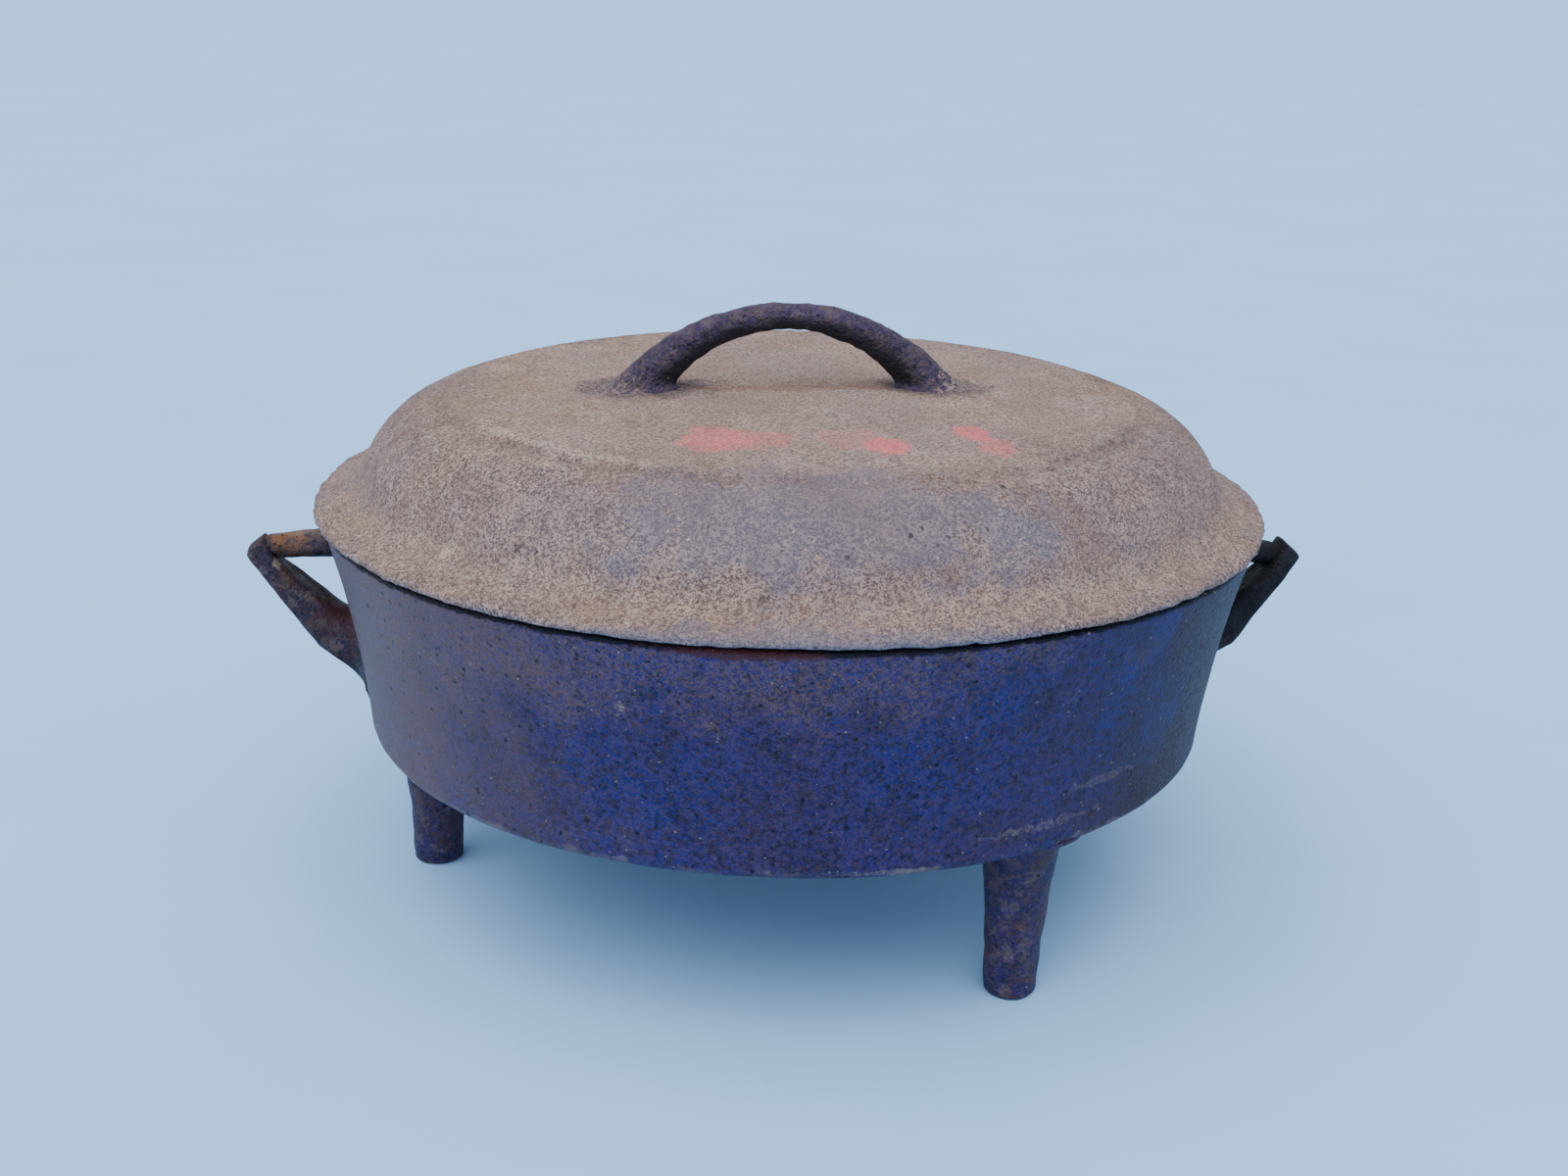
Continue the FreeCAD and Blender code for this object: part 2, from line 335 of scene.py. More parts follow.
# %% Spot: a ragged patch at one place
spot_inputs = [("Centre", "Vector", (0.0, 0.0, 0.0)), ("Reach", "Vector", (0.01, 0.01, 0.01)),
               ("Raggedness", "Float", 0.5), ("Grit", "Float", 6.0)]
patch, given, results = start_group("spot", spot_inputs, ["Mask"])
spot = place(patch, "ShaderNodeTexCoord").outputs["Object"]
away = place(patch, "ShaderNodeVectorMath", {0: spot, 1: given["Centre"]}, operation="SUBTRACT").outputs[0]
scaled = place(patch, "ShaderNodeVectorMath", {0: away, 1: given["Reach"]}, operation="DIVIDE").outputs[0]
distance = place(patch, "ShaderNodeVectorMath", {0: scaled}, operation="LENGTH").outputs["Value"]
rough = calc(patch, "SUBTRACT", speckle_noise(patch, given["Grit"], 4.0), 0.5)
rough = calc(patch, "MULTIPLY", rough, calc(patch, "MULTIPLY", given["Raggedness"], 3.0))
mask = calc(patch, "SUBTRACT", 1.0, fade(patch, calc(patch, "ADD", distance, rough), 0.55, 1.0))
patch.links.new(mask, results["Mask"])
print("group:", patch.name)

# %% Ring: a band of wear round the axis
ring_inputs = [("Radius", "Float", 0.1), ("Width", "Float", 0.003), ("Wander", "Float", 0.002)]
ring, given, results = start_group("ring band", ring_inputs, ["Mask"])
spot = place(ring, "ShaderNodeTexCoord").outputs["Object"]
flat = place(ring, "ShaderNodeVectorMath", {0: spot, 1: (1.0, 1.0, 0.0)}, operation="MULTIPLY").outputs[0]
reach = place(ring, "ShaderNodeVectorMath", {0: flat}, operation="LENGTH").outputs["Value"]
wander = calc(ring, "MULTIPLY", calc(ring, "SUBTRACT", speckle_noise(ring, 14.0, 4.0), 0.5), given["Wander"])
off = calc(ring, "ABSOLUTE", calc(ring, "ADD", calc(ring, "SUBTRACT", reach, given["Radius"]), wander))
mask = calc(ring, "SUBTRACT", 1.0, fade(ring, calc(ring, "DIVIDE", off, given["Width"]), 0.2, 1.0))
ring.links.new(mask, results["Mask"])
print("group:", ring.name)

# %% [markdown]
# ## From masks to a material
# Every finish here ends in one Principled shader, with bumps chained from coarse to fine. A helper
# starts the material and closes it, so that each cell below only says what is special: its colours
# and where they lie.


# %% Start and close a material
def start_material(name):
    material = bpy.data.materials.new(name)
    material.use_nodes = True
    tree = material.node_tree
    tree.nodes.clear()
    return material, tree


def bumped(tree, height, depth, strength, normal=None):
    """A bump depth metres high. Pass the normal of a coarser bump to stack them."""
    inputs = {"Height": height, "Distance": depth, "Strength": strength}
    if normal:
        inputs["Normal"] = normal
    return place(tree, "ShaderNodeBump", inputs).outputs[0]


def close_material(tree, colour, roughness, normal, specular):
    inputs = {"Base Color": colour, "Roughness": roughness, "Normal": normal, "Specular IOR Level": specular}
    shader = place(tree, "ShaderNodeBsdfPrincipled", inputs).outputs[0]
    place(tree, "ShaderNodeOutputMaterial", {"Surface": shader})


def colour(red, green, blue):
    return (red, green, blue, 1.0)


def faces_down(tree, low, high):
    """1 where the skin faces down, 0 where it faces up."""
    facing = place(tree, "ShaderNodeTexCoord").outputs["Normal"]
    up = place(tree, "ShaderNodeSeparateXYZ", {0: facing}).outputs["Z"]
    return fade(tree, calc(tree, "MULTIPLY", up, -1.0), low, high)


def between(tree, mask, low, high):
    """A number that goes from low to high as the mask goes from 0 to 1."""
    return calc(tree, "ADD", calc(tree, "MULTIPLY", mask, high - low), low)


def patch_at(tree, centre, reach, raggedness, grit):
    """A ragged patch that reaches so far along X, Y and Z. The grit is in millimetres."""
    return use(tree, patch, Centre=centre, Reach=reach, Raggedness=raggedness, Grit=grit)["Mask"]


def lay(tree, skin, tint, mask, *shares):
    """Lay a tint over the skin where the mask and all the shares are bright."""
    for share in shares:
        mask = calc(tree, "MULTIPLY", mask, share)
    return over(tree, mask, skin, tint)


print("material helpers ready")

# %% [markdown]
# ## Lid finish: dry, gritty, half rusty iron
# The lid has lost its seasoning. What shows is a thin even rust, taupe with tan grains and dark pits,
# cooler and bluer where some seasoning is left at the front. The edge of the plateau is worn pale, with a
# painted highlight on its front left, and painted shade lies in the crease below it.
# Three faded dabs of red paint lie on the front of the plateau, as a dealer might leave them.

# %% Colours of the lid
lid_dark = colour(0.090, 0.058, 0.056)
lid_light = colour(0.51, 0.370, 0.325)
lid_dust = colour(0.66, 0.46, 0.355)
lid_tan = colour(0.54, 0.37, 0.28)
lid_blue = colour(0.15, 0.14, 0.20)
lid_brown = colour(0.21, 0.11, 0.070)
pit_black = colour(0.040, 0.028, 0.030)
fleck_pale = colour(0.75, 0.62, 0.52)
# Dark stain, with painted shade, for the lid round the grip's feet.
stain_and_shade_at_grip = colour(0.055, 0.040, 0.055)
faded_red = colour(0.90, 0.15, 0.18)
print("lid runs from", lid_dark[:3], "to", lid_light[:3])

# %% Mix the lid's finish
lid_iron, tree = start_material("lid_iron")
grit = use(tree, grain, Size=1.1)
grains = grit["Speckle"]
skin = over(tree, grains, lid_dark, lid_light)
mottle = use(tree, stain, Size=5.0, Amount=0.45, Softness=0.18, Seed=7.0)["Mask"]
skin = lay(tree, skin, lid_dark, mottle, 0.38)
dusty_top = patch_at(tree, (0.0, 0.0, lid_top), (0.15, 0.15, 0.016), 0.3, 14.0)
skin = lay(tree, skin, lid_dust, dusty_top, between(tree, grains, 0.14, 0.50))
cool = use(tree, stain, Size=55.0, Amount=0.55, Softness=0.35, Seed=2.0)["Mask"]
skin = lay(tree, skin, lid_blue, cool, 0.30)
warm = use(tree, stain, Size=22.0, Amount=0.45, Softness=0.3, Seed=5.0)["Mask"]
skin = lay(tree, skin, lid_brown, warm, 0.35)
low_band = use(tree, ring, Radius=0.141, Width=0.016, Wander=0.03)["Mask"]
tan_mottle = use(tree, stain, Size=7.0, Amount=0.55, Softness=0.25, Seed=3.0)["Mask"]
skin = lay(tree, skin, lid_tan, low_band, between(tree, grains, 0.10, 0.45),
           between(tree, tan_mottle, 0.35, 1.0))
violet_edge = patch_at(tree, (-0.025, -0.150, lid_seat + 1 * mm), (0.10, 0.03, 0.0055), 0.6, 8.0)
skin = lay(tree, skin, lid_blue, violet_edge, 0.50)
front = patch_at(tree, (0.0, -0.122, 0.154), (0.075, 0.024, 0.030), 0.8, 12.0)
skin = lay(tree, skin, lid_blue, front, 0.45)
print("lid: grain, stains, pale band at the edge, blue patch at the front")

# %% Add the lid's wear and painted light: the plateau's edge worn pale with a painted highlight, painted shade in its crease, dark stain and painted shade at the grip's feet, and a brown line between them
# The plateau's edge is worn pale. On its front left the pale streak is also a painted highlight.
worn = use(tree, ring, Radius=plateau_radius - 2.5 * mm, Width=0.0045, Wander=0.006)["Mask"]
rubbed = patch_at(tree, (-0.076, -0.070, plateau_edge), (0.042, 0.042, 0.03), 0.5, 9.0)
skin = lay(tree, skin, fleck_pale, worn, rubbed, between(tree, grains, 0.02, 0.30))
# Painted shade: a dark ring laid in the crease below the plateau's step.
painted_crease_shade = use(tree, ring, Radius=plateau_radius + 2.5 * mm, Width=0.004, Wander=0.005)["Mask"]
patchy = use(tree, stain, Size=30.0, Amount=0.6, Softness=0.4, Seed=9.0)["Mask"]
skin = lay(tree, skin, lid_dark, painted_crease_shade, patchy, 0.35)
grip_low, grip_high = (Vector(corner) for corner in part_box("lid_handle"))
# Darker round the grip's feet: stain, and painted shade where the grip meets the lid.
for foot_x, reach_x in ((grip_low.x + 9 * mm, 0.027), (grip_high.x - 8 * mm, 0.022)):
    foot = patch_at(tree, (foot_x, 0.0, plateau_edge), (reach_x, 0.022, 0.03), 0.35, 7.0)
    skin = lay(tree, skin, stain_and_shade_at_grip, foot, between(tree, grains, 0.85, 0.45))
# A brown line along the plateau under the grip, between its feet.
brown_line_under_grip = patch_at(tree, (-0.004, -0.004, lid_top), (0.046, 0.005, 0.02), 0.5, 7.0)
skin = lay(tree, skin, lid_brown, brown_line_under_grip, 0.35)
print("lid: worn edge, dark feet, rust line")

# %% Add the lid's paint, pits and flecks
paint_dabs = [
    ((-0.031, -0.070), (0.012, 0.017), 0.55),
    ((-0.017, -0.070), (0.014, 0.012), 0.35),
    ((0.010, -0.070), (0.013, 0.014), 0.22),
    ((0.019, -0.078), (0.008, 0.010), 0.85),
    ((0.046, -0.063), (0.006, 0.013), 0.75),
    ((0.051, -0.078), (0.007, 0.012), 0.45),
]
for (dab_x, dab_y), (reach_x, reach_y), strength in paint_dabs:
    dab = patch_at(tree, (dab_x, dab_y, lid_top), (reach_x, reach_y, 0.03), 0.5, 6.0)
    skin = lay(tree, skin, faded_red, dab, between(tree, grains, 0.45 * strength, strength))
lone_marks = [
    ((-0.0853, -0.1057, 0.1414), 2.0, 0.75, pit_black),
    ((0.0628, -0.0948, 0.1595), 2.4, 0.60, pit_black),
    ((-0.022, -0.137, 0.1360), 2.6, 0.45, pit_black),
    ((-0.107, -0.091, 0.137), 3.0, 0.40, fleck_pale),
]
for centre, reach, strength, tint in lone_marks:
    mark = patch_at(tree, centre, (reach * mm,) * 3, 0.9, 1.6)
    skin = lay(tree, skin, tint, mark, between(tree, grains, strength, 0.4 * strength))
holes = use(tree, pits, Spacing=3.5, Share=0.30, Size=0.16)["Mask"]
skin = lay(tree, skin, pit_black, holes, 0.60)
chips = use(tree, pits, Spacing=9.0, Share=0.35, Size=0.09)["Mask"]
skin = lay(tree, skin, pit_black, chips, 0.8)
flecks = use(tree, pits, Spacing=2.7, Share=0.25, Size=0.15)["Mask"]
skin = lay(tree, skin, fleck_pale, flecks, 0.6)
gritty = bumped(tree, grit["Height"], 2.0 * mm, 1.0)
pitted = bumped(tree, calc(tree, "SUBTRACT", 1.0, holes), 0.5 * mm, 0.6, gritty)
close_material(tree, skin, between(tree, grains, 0.97, 0.86), pitted, 0.2)
print("lid finish:", len(tree.nodes), "nodes")

# %% [markdown]
# ## Pot finish: blue-black seasoning
# The pot kept its seasoning, an oil film baked onto the iron. It is half matt, nearly blue at the
# front, worn grey and brown with a painted sheen towards the left ear, with painted shade towards the
# right one, and slate behind.
# Fine pits and a few pale specks break it up. The bottom edge is rubbed pale here and there.

# %% Colours of the pot
season_blue = colour(0.004, 0.010, 0.138)
season_violet = colour(0.024, 0.013, 0.085)
season_grey = colour(0.185, 0.105, 0.082)
season_black = colour(0.002, 0.002, 0.006)
# Painted shade for the bowl's right side.
painted_shade_brown = colour(0.032, 0.014, 0.010)
# Worn grey-brown for the bowl's left side, partly a painted sheen.
worn_grey_with_sheen = colour(0.168, 0.098, 0.072)
season_slate = colour(0.012, 0.012, 0.030)
worn_tan = colour(0.30, 0.22, 0.18)
rust_orange = colour(0.19, 0.080, 0.030)
rust_brown = colour(0.070, 0.030, 0.020)
rust_red = colour(0.055, 0.012, 0.014)
print("seasoning at the front:", season_blue[:3])


# %% Layers that all the seasoned iron shares
def seasoned_iron(name, base, second, pit_share, grit_size, grit_depth):
    """Start a seasoned finish: two colours in soft clouds, pits and grit."""
    material, tree = start_material(name)
    grit = use(tree, grain, Size=grit_size)
    cloud = use(tree, stain, Size=45.0, Amount=0.5, Softness=0.4, Seed=1.0)["Mask"]
    skin = over(tree, cloud, base, second)
    dark = use(tree, stain, Size=9.0, Amount=0.42, Softness=0.3, Seed=3.0)["Mask"]
    skin = lay(tree, skin, season_black, dark, 0.35)
    flakes = use(tree, stain, Size=2.1, Amount=0.42, Softness=0.10, Seed=5.0)["Mask"]
    skin = lay(tree, skin, season_black, flakes, 0.60)
    skin = lay(tree, skin, season_grey, grit["Speckle"], 0.21)
    holes = use(tree, pits, Spacing=2.6, Share=pit_share, Size=0.24)["Mask"]
    gritty = bumped(tree, grit["Height"], grit_depth, 1.0)
    pitted = bumped(tree, calc(tree, "SUBTRACT", 1.0, holes), 0.5 * mm, 0.7, gritty)
    return material, tree, grit["Speckle"], skin, holes, pitted


print("seasoned iron: clouds, dark stains, grit and pits")

# %% Mix the outside of the bowl: slate behind, painted shade on the right, worn with a painted sheen on the left
bowl_iron, tree, grains, skin, holes, normal = seasoned_iron(
    "bowl_iron", season_blue, season_violet, 0.40, 1.5, 1.5 * mm)
regions = [
    ((0.0, 0.110), (0.230, 0.170), 0.85, season_slate),
    # Right side: painted shade, a dark brown laid over the seasoning.
    ((0.170, 0.0), (0.160, 0.175), 0.90, painted_shade_brown),
    # Left side: worn grey-brown, and a painted sheen along the edge.
    ((-0.150, -0.040), (0.120, 0.150), 0.38, worn_grey_with_sheen),
    ((-0.160, -0.035), (0.085, 0.110), 0.45, worn_grey_with_sheen),
]
for (centre_x, centre_y), (reach_x, reach_y), strength, tint in regions:
    region = patch_at(tree, (centre_x, centre_y, 0.10), (reach_x, reach_y, 0.3), 0.4, 30.0)
    skin = lay(tree, skin, tint, region, between(tree, grains, 0.75 * strength, strength))
under_lid = patch_at(tree, (-0.06, -0.10, rim_height + 10 * mm), (0.16, 0.16, 0.045), 0.5, 20.0)
skin = lay(tree, skin, season_grey, under_lid, between(tree, grains, 0.08, 0.40))
print("bowl: regions of its own all round, dusty under the lid")

# %% Add the bowl's wear and a painted shadow: rubbed marks, the bottom crease, painted shadow on the rim under the lid, the rim's rust, pits and flecks
rub_marks = [
    ((0.060, -0.126, 0.0645), (0.022, 0.02, 0.0016), 0.30),
    ((0.078, -0.114, 0.074), (0.014, 0.02, 0.0018), 0.25),
    ((0.015, -0.137, 0.0570), (0.016, 0.02, 0.0012), 0.40),
    ((-0.059, -0.133, 0.1055), (0.0018, 0.01, 0.0026), 0.55),
]
for centre, reach, strength in rub_marks:
    rub = patch_at(tree, centre, reach, 1.2, 2.5)
    skin = lay(tree, skin, worn_tan, rub, between(tree, grains, 0.2 * strength, strength))
bottom = patch_at(tree, (0.0, 0.0, leg_height + 1.5 * mm), (1.0, 1.0, 0.0022), 0.9, 5.0)
bottom_patchy = use(tree, stain, Size=12.0, Amount=0.45, Softness=0.2, Seed=8.0)["Mask"]
skin = lay(tree, skin, worn_tan, bottom, bottom_patchy, 0.35)
# Painted shadow: a black line on the rim where the lid's edge overhangs it.
painted_shadow_under_lid = patch_at(tree, (0.0, 0.0, rim_height), (1.0, 1.0, 0.0018), 0.7, 4.0)
skin = lay(tree, skin, season_black, painted_shadow_under_lid, 0.9)
rim_rust = patch_at(tree, (-0.030, -0.147, rim_height - 1 * mm), (0.030, 0.02, 0.0022), 0.6, 5.0)
skin = lay(tree, skin, rust_red, rim_rust, 0.8)
skin = lay(tree, skin, season_black, holes, 0.7)
chips = use(tree, pits, Spacing=6.0, Share=0.40, Size=0.15)["Mask"]
skin = lay(tree, skin, season_black, chips, 0.8)
flecks = use(tree, pits, Spacing=2.2, Share=0.30, Size=0.16)["Mask"]
skin = lay(tree, skin, worn_tan, flecks, 0.65)
close_material(tree, skin, between(tree, grains, 0.46, 0.64), normal, 0.19)
print("bowl finish:", len(tree.nodes), "nodes")

# %% Mix the inside of the bowl and the underside of the lid: blacker, with rust coming through
inside_iron, tree, _, skin, holes, normal = seasoned_iron(
    "inside_iron", colour(0.030, 0.026, 0.028), colour(0.060, 0.045, 0.040), 0.35, 2.0, 0.4 * mm)
bloom = use(tree, stain, Size=18.0, Amount=0.42, Softness=0.25, Seed=6.0)["Mask"]
skin = lay(tree, skin, rust_brown, bloom, 0.6)
skin = lay(tree, skin, season_black, holes, 0.6)
close_material(tree, skin, between(tree, bloom, 0.48, 0.85), normal, 0.4)
print("inside finish:", len(tree.nodes), "nodes")

# %% Mix the legs: seasoned, with tan wear and brown rust in soft mottles
leg_iron, tree, _, skin, holes, normal = seasoned_iron(
    "leg_iron", colour(0.003, 0.004, 0.085), colour(0.018, 0.007, 0.080), 0.45, 1.8, 2.4 * mm)
mottle = use(tree, stain, Size=4.5, Amount=0.38, Softness=0.10, Seed=4.0)["Mask"]
skin = lay(tree, skin, worn_tan, mottle, 0.20)
bloom = use(tree, stain, Size=10.0, Amount=0.40, Softness=0.2, Seed=7.0)["Mask"]
skin = lay(tree, skin, rust_brown, bloom, 0.5)
skin = lay(tree, skin, season_black, holes, 0.8)
flecks = use(tree, pits, Spacing=2.4, Share=0.25, Size=0.18)["Mask"]
skin = lay(tree, skin, worn_tan, flecks, 0.60)
close_material(tree, skin, between(tree, mottle, 0.52, 0.85), normal, 0.3)
print("leg finish:", len(tree.nodes), "nodes")

# %% Mix the ears: seasoned, with orange rust on the outer half of the left bar
ear_low, ear_high = (Vector(corner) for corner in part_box("ear_bar_left"))
ear_iron, tree, _, skin, holes, normal = seasoned_iron(
    "ear_iron", colour(0.003, 0.003, 0.026), colour(0.014, 0.007, 0.034), 0.45, 1.6, 2.0 * mm)
mottle = use(tree, stain, Size=4.5, Amount=0.40, Softness=0.12, Seed=2.5)["Mask"]
skin = lay(tree, skin, worn_tan, mottle, 0.20)
bloom = use(tree, stain, Size=9.0, Amount=0.42, Softness=0.2, Seed=6.5)["Mask"]
skin = lay(tree, skin, rust_brown, bloom, 0.45)
strut_root = (ear_low.x + 24 * mm, -0.009, leg_height + 38 * mm)
root_rust = patch_at(tree, strut_root, (0.009, 0.010, 0.012), 0.8, 4.0)
skin = lay(tree, skin, rust_red, root_rust, 0.5)
bar_rust = patch_at(tree, (ear_low.x + 10 * mm, 0.0, ear_high.z - 5 * mm), (0.009, 0.012, 0.008), 0.6, 4.0)
bar_stain = use(tree, stain, Size=4.0, Amount=0.50, Softness=0.2, Seed=1.0)["Mask"]
skin = lay(tree, skin, rust_orange, bar_rust, between(tree, bar_stain, 0.10, 0.75))
top_dust = patch_at(tree, (ear_low.x + 12 * mm, 0.0, ear_high.z), (0.022, 0.009, 0.003), 0.4, 4.0)
skin = lay(tree, skin, worn_tan, top_dust, 0.30)
# Painted shade: the right ear is laid almost black, as the lid shades it.
painted_shade_right_ear = patch_at(tree, (-ear_low.x - 14 * mm, -0.006, 0.097), (0.040, 0.03, 0.034), 0.5, 8.0)
skin = lay(tree, skin, season_black, painted_shade_right_ear, 0.95)
tip_wear = patch_at(tree, (ear_low.x + 6 * mm, -0.005, 0.1075), (0.0025, 0.004, 0.002), 0.9, 2.0)
skin = lay(tree, skin, fleck_pale, tip_wear, 0.22)
# Painted shade: faces that point down are laid darker.
skin = lay(tree, skin, season_black, faces_down(tree, -0.1, 0.6), 0.6)
skin = lay(tree, skin, season_black, holes, 0.7)
close_material(tree, skin, between(tree, bloom, 0.50, 0.85), normal, 0.28)
print("ear finish:", len(tree.nodes), "nodes")

# %% Mix the grip: dark, handled iron, rougher than the pot
grip_iron, tree, grains, skin, holes, normal = seasoned_iron(
    "grip_iron", colour(0.009, 0.004, 0.044), colour(0.036, 0.018, 0.092), 0.5, 2.0, 2.4 * mm)
dry = use(tree, stain, Size=4.5, Amount=0.42, Softness=0.16, Seed=3.5)["Mask"]
skin = lay(tree, skin, worn_tan, dry, 0.17)
for foot_x, strength in ((grip_low.x - 2 * mm, 0.35), (grip_high.x + 2 * mm, 0.50)):
    foot = patch_at(tree, (foot_x, 0.0, lid_top - 1 * mm), (0.014, 0.03, 0.009), 0.9, 3.0)
    skin = lay(tree, skin, over(tree, grains, lid_dark, lid_light), foot, strength)
# Painted shade: the grip's underside, facing down, is laid almost black.
skin = lay(tree, skin, season_black, faces_down(tree, -0.35, 0.35), 0.85)
skin = lay(tree, skin, season_black, holes, 0.8)
flecks = use(tree, pits, Spacing=2.2, Share=0.25, Size=0.18)["Mask"]
skin = lay(tree, skin, worn_tan, flecks, 0.45)
close_material(tree, skin, between(tree, dry, 0.60, 0.85), normal, 0.4)
print("grip finish:", len(tree.nodes), "nodes")

# %% [markdown]
# ## The bowl
# One outline goes from the axis under the bowl, round the corner, up the slightly hollow wall, over
# the rim and down inside. The rings are close together where the eye goes, on the wall and the rim,
# and wide apart on the flat floor. The long waves of a hand-made pattern are under a millimetre deep,
# so the depths here are small.

# %% Turn the bowl
bowl_outline = outline_of((0, leg_height), [
    ((base_radius - corner_radius, leg_height), 0, 4),
    ((base_radius, leg_height + corner_radius), -quarter * corner_radius, 0.8),
    ((mouth_radius, rim_height - rim_rounding), wall_hollow, 1.8),
    ((mouth_radius - rim_rounding, rim_height), -quarter * rim_rounding, 0.5),
    ((mouth_radius - bowl_wall + rim_rounding, rim_height), 0, 1),
    ((mouth_radius - bowl_wall, rim_height - rim_rounding), -quarter * rim_rounding, 0.5),
    ((base_radius - bowl_wall, floor_top + inside_corner), -wall_hollow, 2.5),
    ((base_radius - bowl_wall - inside_corner, floor_top), quarter * inside_corner, 1.5),
    ((0, floor_top), 0, 4),
])
bowl_mesh = lathe(bowl_outline, columns=520)
cast_in_sand(bowl_mesh, [(60 * mm, 0.7 * mm), (14 * mm, 0.30 * mm), (5 * mm, 0.16 * mm)], seed=1)
for vertex in bowl_mesh.verts:
    vertex.co.z = min(vertex.co.z, rim_height)
for face in bowl_mesh.faces:
    centre = face.calc_center_median()
    wall_share = (centre.z - leg_height) / (rim_height - leg_height)
    wall_here = base_radius + (mouth_radius - base_radius) * wall_share
    behind_wall = Vector(centre.xy).length < wall_here - bowl_wall * 0.8
    above_underside = centre.z > (leg_height + floor_top) / 2
    face.material_index = int(behind_wall and above_underside)
finished_piece("bowl", bowl_mesh, "pot", ["pot_bowl"], [bowl_iron, inside_iron])

# %% [markdown]
# ## The legs
# Each leg is a tapered round peg, cast with the bowl, so it swells into the underside with a fillet.
# A cone would look machined. These are stacks of rings that lean a little, with a rounded foot, and
# then get the same sand-cast noise as the rest.

# %% Cast the legs
leg_top_radius = 12.2 * mm
leg_taper_power = 1.7
foot_rounding = 1.6 * mm
leg_fillet = 5 * mm
leg_from_axis = 117.5 * mm
leg_lean = 1.5 * mm
leg_end = 56 * mm
leg_columns = 72
foot_heights = [0, 0.2, 0.6, 1.1, 1.6]
shaft_heights = [1.6 + step for step in range(1, 50)]
fillet_heights = [51.8, 52.8, 53.6, 54.2, 54.8, 56]
leg_angles = {"left": 180, "front_right": -60, "back_right": 60}
leg_foot_radius = {"left": 8.3 * mm, "front_right": 7.8 * mm, "back_right": 7.8 * mm}


def leg_radius(height, foot_radius):
    """The peg's radius at a height, with a rounded foot and a fillet under the bowl."""
    share = height / leg_height
    radius = foot_radius + (leg_top_radius - foot_radius) * share ** leg_taper_power
    if height < foot_rounding:
        radius -= foot_rounding - math.sqrt(foot_rounding ** 2 - (foot_rounding - height) ** 2)
    below = leg_height - height
    if below < leg_fillet:
        radius += leg_fillet - math.sqrt(leg_fillet ** 2 - (leg_fillet - max(0, below)) ** 2)
    return radius


def leg_mesh(side):
    """A leg from the floor up into the bowl's bottom, turned to its place round the pot."""
    rings = [[(leg_from_axis, 0, 0)]]
    for height in (value * mm for value in foot_heights + shaft_heights + fillet_heights):
        centre = leg_from_axis + leg_lean * (height / leg_height) ** 2
        radius = leg_radius(height, leg_foot_radius[side])
        rings.append([(centre + radius * math.cos(angle), radius * math.sin(angle), height)
                      for angle in around(leg_columns)])
    rings.append([(leg_from_axis + leg_lean, 0, leg_end)])
    mesh = skin_over(rings)
    bmesh.ops.rotate(mesh, verts=mesh.verts, cent=(0, 0, 0),
                     matrix=Matrix.Rotation(math.radians(leg_angles[side]), 3, "Z"))
    mesh.normal_update()
    return mesh


for number, side in enumerate(leg_angles):
    mesh = leg_mesh(side)
    cast_in_sand(mesh, [(22 * mm, 1.0 * mm), (7 * mm, 0.8 * mm), (3 * mm, 0.32 * mm)], seed=11 + number)
    for vertex in mesh.verts:
        vertex.co.z = max(vertex.co.z, 0)
    finished_piece("leg_" + side, mesh, "pot", ["leg_" + side], [leg_iron])

# %% [markdown]
# ## The ears
# An ear is two pieces of the pattern: a short round bar that comes straight out under the rim, and a
# wedge that props it from below. The bar's domed end simply sits on the wedge, and the seam between
# them shows on the real one, so they stay two pieces. Both swell where they meet the wall.


# %% Find the wall, and swell a piece where it meets the wall
def wall_radius(height):
    """Outside radius of the bowl at a height, on its slightly hollow wall."""
    foot = Vector((base_radius, leg_height + corner_radius))
    rim = Vector((mouth_radius, rim_height))
    share = (height - foot.y) / (rim.y - foot.y)
    return foot.x + (rim.x - foot.x) * share - wall_hollow * 4 * share * (1 - share)


def swell_at_wall(mesh, axis_point, axis_direction, fillet):
    """Move points near the wall away from the piece's own axis, as a fillet does."""
    for vertex in mesh.verts:
        gap = Vector(vertex.co.xy).length - wall_radius(vertex.co.z)
        if gap < fillet:
            off_axis = vertex.co - axis_point
            off_axis -= axis_direction * off_axis.dot(axis_direction)
            if off_axis.length > 0.5 * mm:
                reach = fillet - math.sqrt(fillet ** 2 - (fillet - max(0, gap)) ** 2)
                vertex.co += off_axis.normalized() * reach
    mesh.normal_update()


print(f"wall radius half way up: {wall_radius((leg_height + rim_height) / 2):.4f} m")

# %% Sizes of the ears
bar_drop = {"left": 13.8 * mm, "right": 15.8 * mm}
bar_droop = {"left": 1.6 * mm, "right": 5.4 * mm}
tip_drop = {"left": 16.2 * mm, "right": 20.2 * mm}
ear_tip = -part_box("ear_strut_left")[0][0]
bar_end_setback = 8.9 * mm
bar_root_radius = 5.2 * mm
bar_end_radius = 3.9 * mm
bar_fillet = 3.0 * mm
bar_steps = 34
bar_columns = 56
dome_steps = 8
strut_slope = math.radians(55)
strut_elbow = 13 * mm
strut_root_low = leg_height + 10.5 * mm
strut_root_high = strut_root_low + 21 * mm
strut_fillet = 6.0 * mm
strut_columns = 72
strut_spacing = 0.9 * mm
squareness = 0.42
tip_inside = Vector((-6.5, 0, 4.2)) * mm
tip_outside = Vector((-0.3, 0, -1.2)) * mm
neck_depth = 6.4 * mm
elbow_depth = 13.8 * mm
tip_width, neck_width, elbow_width, root_width = 10.5 * mm, 14.2 * mm, 17.4 * mm, 21 * mm
tip_dome = [(0, 1.2), (0.3, 1.15), (0.55, 1.05), (0.78, 0.85), (0.93, 0.5)]
print(f"ears reach {ear_tip:.4f} m from the axis")


